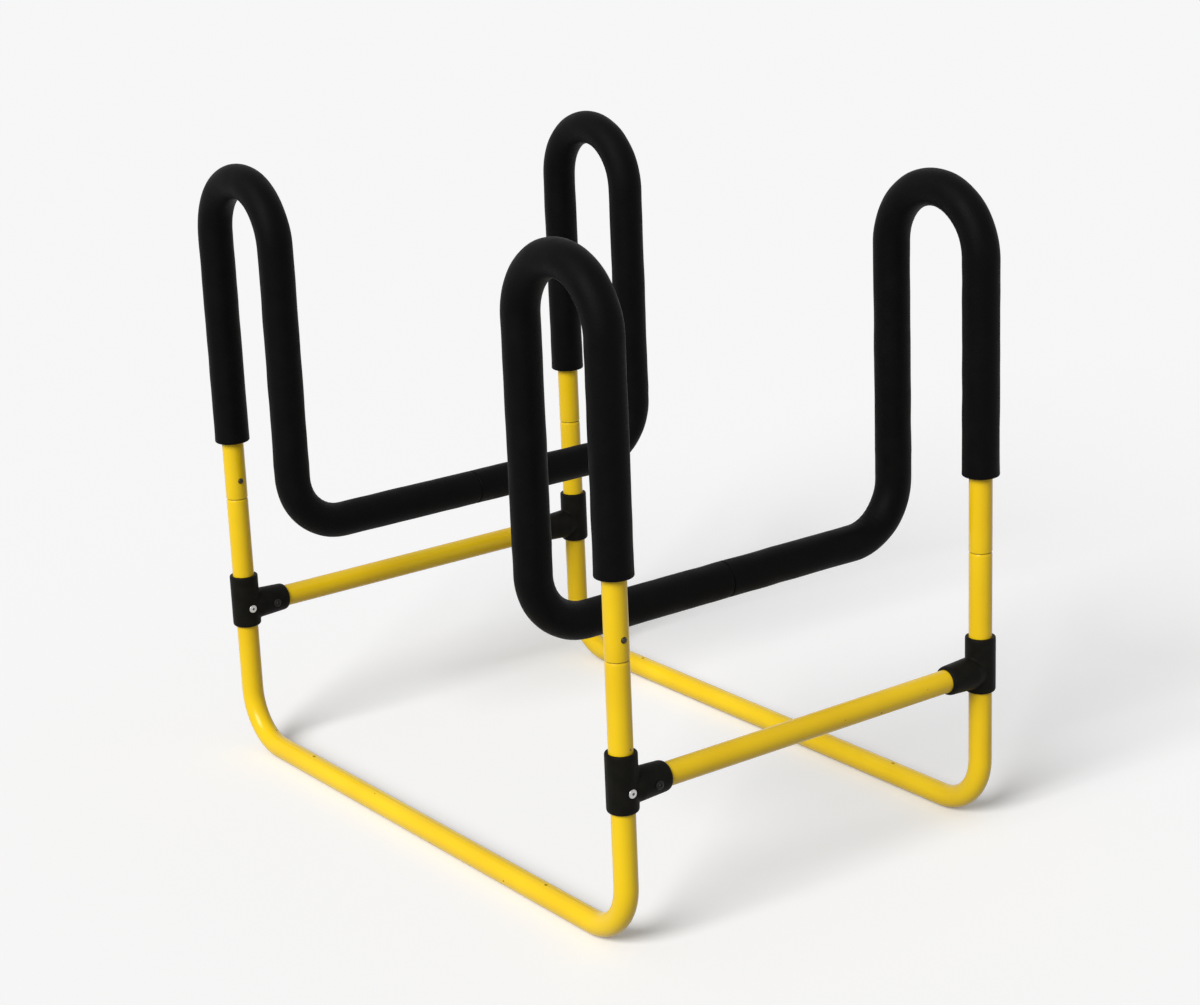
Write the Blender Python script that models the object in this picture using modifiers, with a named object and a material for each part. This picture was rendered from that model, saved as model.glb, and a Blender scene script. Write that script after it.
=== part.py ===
"""Free-standing storage rack for one paddleboard that lies on its side edge.

Two U-shaped floor frames of 25.4 mm steel tube stand one behind the other.
Moulded tee brackets and two side rails tie them together. A padded arm drops
onto each side: up from the front leg, over in a hook, down to a cradle that
runs rearwards, and back up and over to the rear leg. Spring buttons lock it.

Metres, +Z up. X runs across the rack, Y from front to rear, and the floor is
z = 0. The origin is on the floor, under the middle of the rack.
"""

import math

import bmesh
import bpy
from mathutils import Matrix, Vector

# Steel tube and running fits
TUBE_D = 0.0254
TUBE_WALL = 0.0012
FIT = 0.0003
TUBE_BEVEL_RESOLUTION = 6

# Floor frames
LEG_SPACING = 0.750
FRAME_DEPTH = 0.490
CORNER_RADIUS = 0.060
CORNER_STEPS = 6
BAR_HOLE_X = 0.235
BAR_HOLE_D = 0.0045
SEAM_Z = 0.314
SWAGE_HEIGHT = 0.0040
SPIGOT_LENGTH = 0.055
SPIGOT_LEAD_IN = 0.002
SPIGOT_TIP_D = 0.0210

# Padded arms
HOOK_WIDTH = 0.137
HOOK_STEPS = 8
HOOK_TOP_Z = 0.701
CRADLE_Z = 0.305
CRADLE_RADIUS = 0.063
CRADLE_STEPS = 4
FOAM_WALL = 0.0070
LEFT_FOAM_END_Z = 0.3845
RIGHT_FOAM_END_Z = 0.3995

# Tee brackets and the side rails in them
RAIL_Z = 0.178
SLEEVE_D = 0.0336
SLEEVE_BELOW_RAIL = 0.0235
SLEEVE_ABOVE_RAIL = 0.0395
SLEEVE_EDGE = 0.0024
SOCKET_LENGTH = 0.0533
SOCKET_ROOT_D = 0.0358
SOCKET_MOUTH_D = 0.0326
SOCKET_MOUTH_ROUND = 0.0055
SOCKET_FLOOR = 0.0040
BRACKET_STEPS = 24

# Blind rivets
RIVET_D = 0.0048
RIVET_HEAD_D = 0.0095
RIVET_HEAD_HEIGHT = 0.0014
RIVET_DIMPLE_D = 0.0026
RIVET_DIMPLE_DEPTH = 0.0008
RIVET_BULB_D = 0.0068
RIVET_BULB_LENGTH = 0.0030
RIVET_STEPS = 12
RAIL_RIVET_SETBACK = 0.0335

# Spring buttons that lock the arms
BUTTON_Z = 0.337
BUTTON_D = 0.0064
BUTTON_PROUD = 0.0018
BUTTON_DOME = 0.0010
FLANGE_D = 0.0086
FLANGE_THICKNESS = 0.0008
BUTTON_STEPS = 12
SPRING_WIDTH = 0.0080
SPRING_THICKNESS = 0.0007
SPRING_ABOVE_BUTTON = 0.006
SPRING_BELOW_BUTTON = 0.006
SPRING_DEPTH = 0.038
SPRING_BEND_RADIUS = 0.0026
SPRING_BEND_STEPS = 4

# Worked out from the sizes above
SIDES = 4 + 2 * TUBE_BEVEL_RESOLUTION
FLATS = math.cos(math.pi / SIDES)
TUBE_R = TUBE_D / 2
BORE_R = TUBE_R - TUBE_WALL
SPIGOT_R = BORE_R - FIT
SPIGOT_BORE_R = SPIGOT_R - TUBE_WALL
LEG_X = LEG_SPACING / 2
LEG_Y = FRAME_DEPTH / 2
FLOOR_BAR_Z = TUBE_R * FLATS
INNER_X = LEG_X - HOOK_WIDTH
HOOK_RADIUS = HOOK_WIDTH / 2
FOAM_BORE_R = TUBE_R + FIT
FOAM_R = FOAM_BORE_R + FOAM_WALL
SLEEVE_R = SLEEVE_D / 2
SOCKET_START = SLEEVE_R + SOCKET_FLOOR
SHELL_BORE_R = TUBE_R + FIT
FOAM_END_Z = {-1: LEFT_FOAM_END_Z, 1: RIGHT_FOAM_END_Z}

SIDE_NAMES = {-1: "left", 1: "right"}
END_NAMES = {-1: "front", 1: "rear"}


def clear_scene():
    for obj in list(bpy.data.objects):
        bpy.data.objects.remove(obj)
    for collection in list(bpy.data.collections):
        bpy.data.collections.remove(collection)


def new_collection(name):
    collection = bpy.data.collections.new(name)
    bpy.context.scene.collection.children.link(collection)
    return collection


def material(name, colour, roughness, metallic):
    made = bpy.data.materials.new(name)
    made.use_nodes = True
    shader = made.node_tree.nodes["Principled BSDF"]
    shader.inputs["Base Color"].default_value = (*colour, 1.0)
    shader.inputs["Roughness"].default_value = roughness
    shader.inputs["Metallic"].default_value = metallic
    made.diffuse_color = (*colour, 1.0)
    return made


def link_mesh(name, mesh, collection, surface=None):
    obj = bpy.data.objects.new(name, mesh)
    collection.objects.link(obj)
    if surface:
        mesh.materials.append(surface)
    return obj


def make_cutter(obj):
    obj.hide_render = True
    obj.display_type = "WIRE"
    return obj


def arc(centre, radius, first, last, steps, across, up):
    """Points of an arc in the plane of the unit vectors across and up, angles in radians."""
    turns = [first + (last - first) * n / steps for n in range(steps + 1)]
    return [centre + radius * (math.cos(a) * across + math.sin(a) * up) for a in turns]


def tube_mesh(name, points, radius, scales=None):
    """Open skin of a round tube along the points. A flat side faces the bottom on level runs."""
    curve = bpy.data.curves.new(name, "CURVE")
    curve.dimensions = "3D"
    curve.twist_mode = "MINIMUM"
    curve.bevel_depth = radius
    curve.bevel_resolution = TUBE_BEVEL_RESOLUTION
    curve.use_fill_caps = False
    spline = curve.splines.new("POLY")
    spline.points.add(len(points) - 1)
    for n, (point, place) in enumerate(zip(spline.points, points)):
        point.co = (*place, 1.0)
        point.tilt = math.pi / SIDES
        point.radius = scales[n] if scales else 1.0
    guide = bpy.data.objects.new(name + "_path", curve)
    bpy.context.scene.collection.objects.link(guide)
    evaluated = guide.evaluated_get(bpy.context.evaluated_depsgraph_get())
    mesh = bpy.data.meshes.new_from_object(evaluated)
    mesh.name = name
    bpy.data.objects.remove(guide)
    bpy.data.curves.remove(curve)
    return mesh


def hollow_tube(name, points, radius, bore, collection, surface, scales=None, bore_scales=None):
    """Steel tube or foam sleeve with open ends: an outer skin, a bore and a rim at each end."""
    outer = tube_mesh(name, points, radius, scales)
    inner = tube_mesh(name + "_bore", points, bore, bore_scales)
    inner.flip_normals()
    shape = bmesh.new()
    shape.from_mesh(outer)
    shape.from_mesh(inner)
    for end in (points[0], points[-1]):
        rims = [e for e in shape.edges if e.is_boundary and (e.verts[0].co - end).length < radius + FIT]
        bmesh.ops.bridge_loops(shape, edges=rims)
    bmesh.ops.recalc_face_normals(shape, faces=shape.faces[:])
    shape.to_mesh(outer)
    shape.free()
    bpy.data.meshes.remove(inner)
    outer.shade_smooth()
    outer.set_sharp_from_angle(angle=math.radians(35.0))
    return link_mesh(name, outer, collection, surface)


def turned_mesh(name, profile, steps):
    """Solid of revolution about local Z from (radius, height) points that run top to bottom."""
    mesh = bpy.data.meshes.new(name)
    shape = bmesh.new()
    line = [shape.verts.new((radius, 0.0, height)) for radius, height in profile]
    edges = [shape.edges.new(pair) for pair in zip(line, line[1:])]
    bmesh.ops.spin(
        shape,
        geom=line + edges,
        cent=(0.0, 0.0, 0.0),
        axis=(0.0, 0.0, 1.0),
        angle=2.0 * math.pi,
        steps=steps,
        use_merge=True,
    )
    bmesh.ops.remove_doubles(shape, verts=shape.verts[:], dist=0.00001)
    bmesh.ops.recalc_face_normals(shape, faces=shape.faces[:])
    shape.to_mesh(mesh)
    shape.free()
    return mesh


def rounded_edge(radius, height, inset, drop, steps):
    """Quarter ellipse from the end face of a turned shape down to its side."""
    angles = [math.pi / 2 * n / steps for n in range(steps + 1)]
    return [(radius - inset + inset * math.sin(a), height - drop + drop * math.cos(a)) for a in angles]


def cut(obj, cutter):
    step = obj.modifiers.new(cutter.name, "BOOLEAN")
    step.operation = "DIFFERENCE"
    step.object = cutter


def drill(name, centre, axis, diameter, length, cutters):
    """Round cutter that starts at the centre and runs along the axis."""
    mesh = bpy.data.meshes.new(name)
    shape = bmesh.new()
    bmesh.ops.create_cone(
        shape,
        cap_ends=True,
        segments=RIVET_STEPS,
        radius1=diameter / 2,
        radius2=diameter / 2,
        depth=length,
        matrix=Matrix.Translation((0.0, 0.0, length / 2)),
    )
    shape.to_mesh(mesh)
    shape.free()
    obj = make_cutter(link_mesh(name, mesh, cutters))
    obj.location = centre
    obj.rotation_euler = Vector(axis).to_track_quat("Z", "Y").to_euler()
    return obj


def outward(end):
    """The side, +1 or -1 along X, that a frame's rivets and buttons face: both frames are one part."""
    return -end


def floor_frame(end, collection, cutters, surface):
    """U-shaped frame of one tube: a swaged leg, a floor bar and another swaged leg."""
    y = end * LEG_Y
    across = Vector((1.0, 0.0, 0.0))
    up = Vector((0.0, 0.0, 1.0))
    corner_z = FLOOR_BAR_Z + CORNER_RADIUS
    corner_x = LEG_X - CORNER_RADIUS
    top = SEAM_Z + SPIGOT_LENGTH
    heights = [top, top - SPIGOT_LEAD_IN, SEAM_Z, SEAM_Z - SWAGE_HEIGHT]
    widths = [SPIGOT_TIP_D / TUBE_D, SPIGOT_R / TUBE_R, SPIGOT_R / TUBE_R, 1.0]
    bores = [SPIGOT_BORE_R / BORE_R, SPIGOT_BORE_R / BORE_R, SPIGOT_BORE_R / BORE_R, 1.0]
    left_leg = [Vector((-LEG_X, y, z)) for z in heights]
    right_leg = [Vector((LEG_X, y, z)) for z in reversed(heights)]
    left_corner = arc(
        Vector((-corner_x, y, corner_z)), CORNER_RADIUS, math.pi, 1.5 * math.pi, CORNER_STEPS, across, up
    )
    right_corner = arc(
        Vector((corner_x, y, corner_z)), CORNER_RADIUS, -0.5 * math.pi, 0.0, CORNER_STEPS, across, up
    )
    points = left_leg + left_corner + right_corner + right_leg
    middle = [1.0] * (len(left_corner) + len(right_corner))
    scales = widths + middle + widths[::-1]
    bore_scales = bores + middle + bores[::-1]
    name = END_NAMES[end] + "_floor_frame"
    frame = hollow_tube(name, points, TUBE_R, BORE_R, collection, surface, scales, bore_scales)
    facing = (outward(end), 0.0, 0.0)
    for side in SIDE_NAMES:
        tag = f"{name}_{SIDE_NAMES[side]}"
        hole = (side * BAR_HOLE_X, y, -FIT)
        cut(frame, drill(tag + "_bar_hole", hole, (0.0, 0.0, 1.0), BAR_HOLE_D, TUBE_D, cutters))
        rivet = (side * LEG_X, y, RAIL_Z)
        cut(frame, drill(tag + "_rivet_hole", rivet, facing, RIVET_D + 2 * FIT, TUBE_D, cutters))
        button = (side * LEG_X, y, BUTTON_Z)
        cut(frame, drill(tag + "_button_hole", button, facing, BUTTON_D + 2 * FIT, TUBE_D, cutters))
    return frame


def side_rail(side, collection, cutters, surface):
    """Straight tube between the floors of the two bracket sockets."""
    reach = LEG_Y - SOCKET_START - FIT
    ends = [Vector((side * LEG_X, -reach, RAIL_Z)), Vector((side * LEG_X, reach, RAIL_Z))]
    name = SIDE_NAMES[side] + "_side_rail"
    rail = hollow_tube(name, ends, TUBE_R, BORE_R, collection, surface)
    for end in END_NAMES:
        place = (side * LEG_X, end * (LEG_Y - RAIL_RIVET_SETBACK), RAIL_Z)
        facing = (outward(end), 0.0, 0.0)
        tag = f"{name}_{END_NAMES[end]}_rivet_hole"
        cut(rail, drill(tag, place, facing, RIVET_D + 2 * FIT, TUBE_D, cutters))
    return rail


def hook_path(side, end):
    """Centre line of half an arm, from the lower end of one leg tube to the middle of the cradle."""
    across = Vector((side, 0.0, 0.0))
    along = Vector((0.0, end, 0.0))
    up = Vector((0.0, 0.0, 1.0))
    spring_z = HOOK_TOP_Z - HOOK_RADIUS
    foot = side * LEG_X * Vector((1.0, 0.0, 0.0)) + LEG_Y * along + (SEAM_Z + FIT) * up
    hook_centre = (LEG_X - HOOK_RADIUS) * across + LEG_Y * along + spring_z * up
    hook = arc(hook_centre, HOOK_RADIUS, 0.0, math.pi, HOOK_STEPS, across, up)
    bend_centre = INNER_X * across + (LEG_Y - CRADLE_RADIUS) * along + (CRADLE_Z + CRADLE_RADIUS) * up
    bend = arc(bend_centre, CRADLE_RADIUS, 0.0, -0.5 * math.pi, CRADLE_STEPS, along, up)
    middle = INNER_X * across + CRADLE_Z * up
    return [foot] + hook + bend + [middle]


def arm_tube(side, collection, cutters, surface):
    """One bent tube that sockets over the front and rear spigots of its side."""
    front = hook_path(side, -1)
    rear = hook_path(side, 1)
    name = SIDE_NAMES[side] + "_arm_tube"
    arm = hollow_tube(name, front[:-1] + rear[-2::-1], TUBE_R, BORE_R, collection, surface)
    for end in END_NAMES:
        place = (side * LEG_X, end * LEG_Y, BUTTON_Z)
        facing = (outward(end), 0.0, 0.0)
        tag = f"{name}_{END_NAMES[end]}_button_hole"
        cut(arm, drill(tag, place, facing, BUTTON_D + 2 * FIT, TUBE_D, cutters))
    return arm


def foam_sleeve(side, end, collection, surface):
    """Foam tube over half an arm. The front and rear sleeves meet at the middle of the cradle."""
    path = hook_path(side, end)
    path[0] = Vector((side * LEG_X, end * LEG_Y, FOAM_END_Z[side]))
    path[-1].y = end * FIT / 2
    name = f"{SIDE_NAMES[side]}_{END_NAMES[end]}_foam_sleeve"
    return hollow_tube(name, path, FOAM_R, FOAM_BORE_R, collection, surface)


def socket_radius(distance):
    """Outer radius of a bracket's socket at a distance from the leg axis."""
    share = (distance - SLEEVE_R) / (SOCKET_LENGTH - SLEEVE_R)
    return (SOCKET_ROOT_D + (SOCKET_MOUTH_D - SOCKET_ROOT_D) * share) / 2


def tee_bracket_mesh(cutters, parts):
    """Sleeve round the leg with a tapered socket for the rail. Local Z is the leg, +Y the socket."""
    top = rounded_edge(SLEEVE_R, SLEEVE_ABOVE_RAIL, SLEEVE_EDGE / 2, SLEEVE_EDGE / 2, 1)
    bottom = rounded_edge(SLEEVE_R, SLEEVE_BELOW_RAIL, SLEEVE_EDGE, SLEEVE_EDGE, 2)
    profile = [(0.0, SLEEVE_ABOVE_RAIL)] + top
    profile += [(radius, -height) for radius, height in reversed(bottom)] + [(0.0, -SLEEVE_BELOW_RAIL)]
    sleeve = link_mesh("bracket_body", turned_mesh("bracket_body", profile, BRACKET_STEPS), parts)

    mouth_r = socket_radius(SOCKET_LENGTH)
    inset = mouth_r - SHELL_BORE_R - FIT
    mouth = rounded_edge(mouth_r, SOCKET_LENGTH, inset, SOCKET_MOUTH_ROUND, 3)
    root = [(SOCKET_ROOT_D / 2, SLEEVE_R), (SLEEVE_R - TUBE_WALL, 0.0), (0.0, 0.0)]
    outline = [(0.0, SOCKET_LENGTH)] + mouth + root
    socket_mesh = turned_mesh("bracket_socket", outline, BRACKET_STEPS)
    socket = make_cutter(link_mesh("bracket_socket", socket_mesh, cutters))
    socket.rotation_euler = (-math.pi / 2, 0.0, 0.0)
    join = sleeve.modifiers.new("socket", "BOOLEAN")
    join.operation = "UNION"
    join.object = socket

    below = -SLEEVE_BELOW_RAIL - TUBE_D
    height = SLEEVE_BELOW_RAIL + SLEEVE_ABOVE_RAIL + 2 * TUBE_D
    leg_bore = bore_cutter("bracket_leg_bore", (0.0, 0.0, below), (0.0, 0.0, 0.0), height, cutters)
    rail_bore = bore_cutter(
        "bracket_rail_bore", (0.0, SOCKET_START, 0.0), (-math.pi / 2, 0.0, 0.0), SOCKET_LENGTH, cutters
    )
    cut(sleeve, leg_bore)
    cut(sleeve, rail_bore)
    facing = (1.0, 0.0, 0.0)
    cut(sleeve, drill("bracket_leg_rivet_hole", (0.0, 0.0, 0.0), facing, RIVET_D + 2 * FIT, SLEEVE_D, cutters))
    setback = (0.0, RAIL_RIVET_SETBACK, 0.0)
    cut(sleeve, drill("bracket_rail_rivet_hole", setback, facing, RIVET_D + 2 * FIT, SLEEVE_D, cutters))

    bpy.context.view_layer.update()
    evaluated = sleeve.evaluated_get(bpy.context.evaluated_depsgraph_get())
    mesh = bpy.data.meshes.new_from_object(evaluated)
    mesh.name = "tee_bracket"
    mesh.set_sharp_from_angle(angle=math.radians(35.0))
    bpy.data.objects.remove(sleeve)
    return mesh


def bore_cutter(name, place, turn, length, cutters):
    """Cutter for a tube's seat, with as many sides as the tube and turned the same way."""
    mesh = bpy.data.meshes.new(name)
    shape = bmesh.new()
    lift = Matrix.Translation((0.0, 0.0, length / 2)) @ Matrix.Rotation(math.pi / SIDES, 4, "Z")
    bmesh.ops.create_cone(
        shape,
        cap_ends=True,
        segments=SIDES,
        radius1=SHELL_BORE_R,
        radius2=SHELL_BORE_R,
        depth=length,
        matrix=lift,
    )
    shape.to_mesh(mesh)
    shape.free()
    obj = make_cutter(link_mesh(name, mesh, cutters))
    obj.location = place
    obj.rotation_euler = turn
    return obj


def place_turned(name, mesh, place, turn, collection):
    obj = link_mesh(name, mesh, collection)
    obj.location = place
    obj.rotation_euler = turn
    return obj


def bracket(side, end, mesh, collection):
    """All four brackets are one moulding. The rear two are turned half round."""
    name = f"{END_NAMES[end]}_{SIDE_NAMES[side]}_tee_bracket"
    turn = (0.0, 0.0, math.pi if end > 0 else 0.0)
    return place_turned(name, mesh, (side * LEG_X, end * LEG_Y, RAIL_Z), turn, collection)


def rivet_mesh(name, seat, surface):
    """Blind rivet along local Z, with its head on the seat radius and its bulb inside the tube."""
    half = RIVET_BULB_D / 2
    inside = math.sqrt((BORE_R * FLATS) ** 2 - half**2) - FIT
    top = seat + RIVET_HEAD_HEIGHT
    profile = [
        (0.0, top - RIVET_DIMPLE_DEPTH),
        (RIVET_DIMPLE_D / 2, top - RIVET_DIMPLE_DEPTH),
        (RIVET_DIMPLE_D / 2 + FIT, top),
        (RIVET_HEAD_D / 3, top - RIVET_HEAD_HEIGHT / 6),
        (RIVET_HEAD_D / 2, top - 2 * RIVET_HEAD_HEIGHT / 3),
        (RIVET_HEAD_D / 2, seat),
        (RIVET_D / 2, seat),
        (RIVET_D / 2, inside),
        (half, inside - FIT),
        (half, inside - RIVET_BULB_LENGTH * 2 / 3),
        (RIVET_D / 3, inside - RIVET_BULB_LENGTH),
        (0.0, inside - RIVET_BULB_LENGTH),
    ]
    mesh = turned_mesh(name, profile, RIVET_STEPS)
    mesh.shade_smooth()
    mesh.set_sharp_from_angle(angle=math.radians(40.0))
    mesh.materials.append(surface)
    return mesh


def facing_turn(end):
    """Turn that lays local Z along X, towards the side that this end's fasteners face."""
    return (0.0, outward(end) * math.pi / 2, 0.0)


def button_sizes():
    """Radii from the leg axis of the button's flange underside and of its top, at rest."""
    half = FLANGE_D / 2
    flange_top = math.sqrt((SPIGOT_BORE_R * FLATS) ** 2 - half**2) - FIT
    return flange_top - FLANGE_THICKNESS, TUBE_R + BUTTON_PROUD


def button_mesh(surface):
    """Button along local Z, with its origin on the leg axis at the height of the hole."""
    base, top = button_sizes()
    profile = [(0.0, top)]
    profile += rounded_edge(BUTTON_D / 2, top, BUTTON_D / 3, BUTTON_DOME, 3)
    profile += [
        (BUTTON_D / 2, base + FLANGE_THICKNESS),
        (FLANGE_D / 2, base + FLANGE_THICKNESS),
        (FLANGE_D / 2, base),
        (0.0, base),
    ]
    mesh = turned_mesh("snap_button", profile, BUTTON_STEPS)
    mesh.shade_smooth()
    mesh.set_sharp_from_angle(angle=math.radians(40.0))
    mesh.materials.append(surface)
    return mesh


def spring_mesh(surface):
    """V of flat spring steel: local +X carries the button and local -X bears on the bore."""
    base, _ = button_sizes()
    front_x = base - FIT - SPRING_THICKNESS / 2
    corner = math.sqrt((SPIGOT_BORE_R * FLATS) ** 2 - (SPRING_WIDTH / 2) ** 2)
    back_x = -(corner - FIT - SPRING_THICKNESS / 2)
    across = Vector((1.0, 0.0, 0.0))
    up = Vector((0.0, 0.0, 1.0))
    bend_z = SPRING_BEND_RADIUS - SPRING_DEPTH
    bend = arc(Vector((0.0, 0.0, bend_z)), SPRING_BEND_RADIUS, 0.0, -math.pi, SPRING_BEND_STEPS, across, up)
    line = [Vector((front_x, 0.0, SPRING_ABOVE_BUTTON)), Vector((front_x, 0.0, -SPRING_BELOW_BUTTON))]
    line += bend
    line += [Vector((back_x, 0.0, -SPRING_BELOW_BUTTON)), Vector((back_x, 0.0, SPRING_ABOVE_BUTTON))]
    mesh = bpy.data.meshes.new("snap_spring")
    shape = bmesh.new()
    low = [shape.verts.new(point - Vector((0.0, SPRING_WIDTH / 2, 0.0))) for point in line]
    edges = [shape.edges.new(pair) for pair in zip(low, low[1:])]
    swept = bmesh.ops.extrude_edge_only(shape, edges=edges)["geom"]
    raised = [item for item in swept if isinstance(item, bmesh.types.BMVert)]
    bmesh.ops.translate(shape, verts=raised, vec=(0.0, SPRING_WIDTH, 0.0))
    shape.to_mesh(mesh)
    shape.free()
    mesh.materials.append(surface)
    return mesh


def build():
    clear_scene()
    parts = new_collection("paddleboard_storage_rack")
    cutters = new_collection("cutters")
    yellow = material("yellow gloss paint", (0.93, 0.62, 0.012), 0.28, 0.0)
    foam = material("black foam", (0.006, 0.006, 0.006), 0.75, 0.0)
    moulding = material("charcoal moulded plastic", (0.011, 0.012, 0.010), 0.45, 0.0)
    silver = material("aluminium rivet", (0.55, 0.55, 0.54), 0.35, 1.0)
    black_rivet = material("blackened rivet", (0.02, 0.02, 0.02), 0.40, 1.0)
    zinc = material("dark zinc button", (0.07, 0.065, 0.05), 0.40, 1.0)
    steel = material("spring steel", (0.35, 0.34, 0.33), 0.35, 1.0)

    for end in END_NAMES:
        floor_frame(end, parts, cutters, yellow)
    for side in SIDE_NAMES:
        side_rail(side, parts, cutters, yellow)
        arm_tube(side, parts, cutters, yellow)

    bracket_shape = tee_bracket_mesh(cutters, parts)
    bracket_shape.materials.append(moulding)
    leg_rivet = rivet_mesh("leg_rivet", SLEEVE_R + FIT, silver)
    rail_seat = socket_radius(RAIL_RIVET_SETBACK - RIVET_HEAD_D / 2) + FIT
    rail_rivet = rivet_mesh("rail_rivet", rail_seat, black_rivet)
    button = button_mesh(zinc)
    spring = spring_mesh(steel)
    for side in SIDE_NAMES:
        for end in END_NAMES:
            corner = f"{END_NAMES[end]}_{SIDE_NAMES[side]}"
            x = side * LEG_X
            y = end * LEG_Y
            turn = facing_turn(end)
            rail_y = end * (LEG_Y - RAIL_RIVET_SETBACK)
            foam_sleeve(side, end, parts, foam)
            bracket(side, end, bracket_shape, parts)
            place_turned(corner + "_leg_rivet", leg_rivet, (x, y, RAIL_Z), turn, parts)
            place_turned(corner + "_rail_rivet", rail_rivet, (x, rail_y, RAIL_Z), turn, parts)
            place_turned(corner + "_snap_button", button, (x, y, BUTTON_Z), turn, parts)
            flip = (0.0, 0.0, math.pi if end > 0 else 0.0)
            clip = place_turned(corner + "_snap_spring", spring, (x, y, BUTTON_Z), flip, parts)
            leaf = clip.modifiers.new("thickness", "SOLIDIFY")
            leaf.thickness = SPRING_THICKNESS
            leaf.offset = 0.0
            leaf.use_even_offset = True


build()
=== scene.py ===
# %% [markdown]
# # A floor rack of bent tube, dressed for a studio picture
#
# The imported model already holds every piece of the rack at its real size. Its
# tubes have sixteen flat sides and its bends are short straight chords, which
# is right for physics and too plain for a picture. This lesson puts a finer
# piece in the very place of each one, gives it a procedural finish, and lights
# the rack like the studio photograph.
#
# We work in metres. X runs across the rack, Y from front to rear, Z is up, and
# the floor is z = 0.

import math

import bmesh
import bpy
from mathutils import Matrix, Vector, noise


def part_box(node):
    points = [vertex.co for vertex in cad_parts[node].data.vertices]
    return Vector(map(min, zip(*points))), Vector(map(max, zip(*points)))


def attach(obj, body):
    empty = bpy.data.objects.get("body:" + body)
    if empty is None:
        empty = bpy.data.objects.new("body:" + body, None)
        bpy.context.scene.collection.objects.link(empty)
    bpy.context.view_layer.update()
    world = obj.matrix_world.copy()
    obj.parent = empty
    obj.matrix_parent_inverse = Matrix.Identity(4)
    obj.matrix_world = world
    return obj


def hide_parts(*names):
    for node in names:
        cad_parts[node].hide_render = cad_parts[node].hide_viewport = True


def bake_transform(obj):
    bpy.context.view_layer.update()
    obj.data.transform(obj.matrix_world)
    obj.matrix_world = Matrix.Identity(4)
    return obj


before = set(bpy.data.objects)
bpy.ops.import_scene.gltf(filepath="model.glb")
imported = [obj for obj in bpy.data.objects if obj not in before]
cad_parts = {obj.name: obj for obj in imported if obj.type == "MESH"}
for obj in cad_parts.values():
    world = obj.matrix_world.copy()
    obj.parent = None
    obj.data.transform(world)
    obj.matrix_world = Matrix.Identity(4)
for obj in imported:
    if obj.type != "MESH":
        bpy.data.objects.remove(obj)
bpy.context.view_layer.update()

# %% [markdown]
# ## Where the camera stands
#
# The camera's place was solved from the straight tubes of the rack in the
# photograph, so it is written here as a real place in the room. The rack fills
# only a corner of the photograph. We keep the camera where it stood, turn it to
# the middle of the rack, and fit a longer lens, so the perspective is the
# photograph's own. Upright things lean a little at the side of a wide picture,
# so the camera is rolled until the legs lean as they do there.

# %% The photograph's camera, turned to the rack
camera_place = Vector((2.337, -1.685, 1.215))
camera_target = Vector((0.000, 0.015, 0.335))
camera_roll = math.radians(-2.35)
camera_lens = 80.0

camera_data = bpy.data.cameras.new("studio_camera")
camera_data.sensor_width = 36.0
camera_data.lens = camera_lens
camera = bpy.data.objects.new("studio_camera", camera_data)
bpy.context.scene.collection.objects.link(camera)
aim = (camera_target - camera_place).to_track_quat("-Z", "Y").to_matrix().to_4x4()
camera.matrix_world = Matrix.Translation(camera_place) @ aim @ Matrix.Rotation(camera_roll, 4, "Z")
bpy.context.scene.camera = camera
print("camera is", round((camera_target - camera_place).length, 2), "m from the rack")

# %% [markdown]
# ## The sizes that shape the rack
#
# Everything is drawn from one tube and a handful of distances. The tube is
# 1 inch steel, swaged thinner at the top of each leg so that the arm's tube can
# drop over it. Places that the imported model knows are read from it, so that the
# fine pieces can't drift away from the solids that they stand for.

# %% Driving sizes
tube_radius = 0.0127
tube_bore = 0.0115
fit = 0.0003
spigot_radius = tube_bore - fit
spigot_bore = 0.0100
spigot_tip = 0.0105
spigot_length = 0.055
lead_in = 0.002
swage = 0.0040
corner_radius = 0.060
foam_radius = 0.0200
foam_bore = tube_radius + fit
foam_end = {-1: 0.3845, 1: 0.3995}
hook_top = 0.701
cradle_height = 0.305
cradle_bend = 0.063
bar_hole_x = 0.235

frame_low, frame_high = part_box("front_floor_frame")
rail_low, rail_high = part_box("left_side_rail")
button_low, button_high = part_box("front_left_snap_button")
arm_low, arm_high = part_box("left_arm_tube")
leg_x = -(rail_low.x + rail_high.x) / 2
leg_y = -(frame_low.y + frame_high.y) / 2
rail_height = (rail_low.z + rail_high.z) / 2
button_height = (button_low.z + button_high.z) / 2
seam_height = frame_high.z - spigot_length
hook_width = arm_high.x - arm_low.x - (rail_high.x - rail_low.x)
hook_radius = hook_width / 2
inner_x = leg_x - hook_width
print("legs at x", round(leg_x, 4), "y", round(leg_y, 4), "seam", round(seam_height, 4))
print("rail height", round(rail_height, 4), "hook width", round(hook_width, 4))

up_way = Vector((0.0, 0.0, 1.0))
side_names = {-1: "left", 1: "right"}
end_names = {-1: "front", 1: "rear"}
corners = [(side, end) for side in side_names for end in end_names]

# %% [markdown]
# ## Laying a tube the way a bender does
#
# A tube bender knows two moves: feed the tube straight, or wrap it round a die.
# bmesh has an operator for each. `extrude_edge_only` with `translate` feeds a
# ring of edges forward, and `spin` wraps it round the axis of the die, which
# keeps every ring a true circle, square to the tube. A third move, the taper,
# feeds and scales the ring at once and gives us swages and rounded lips. A long
# run is fed in one go and then ringed with `subdivide_edges`, which is far
# quicker than feeding it ring by ring.

# %% Feeding, bending and tapering a ring
fewest_bend_steps = 6


def ring_verts(rim):
    return list({vert for edge in rim for vert in edge.verts})


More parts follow.
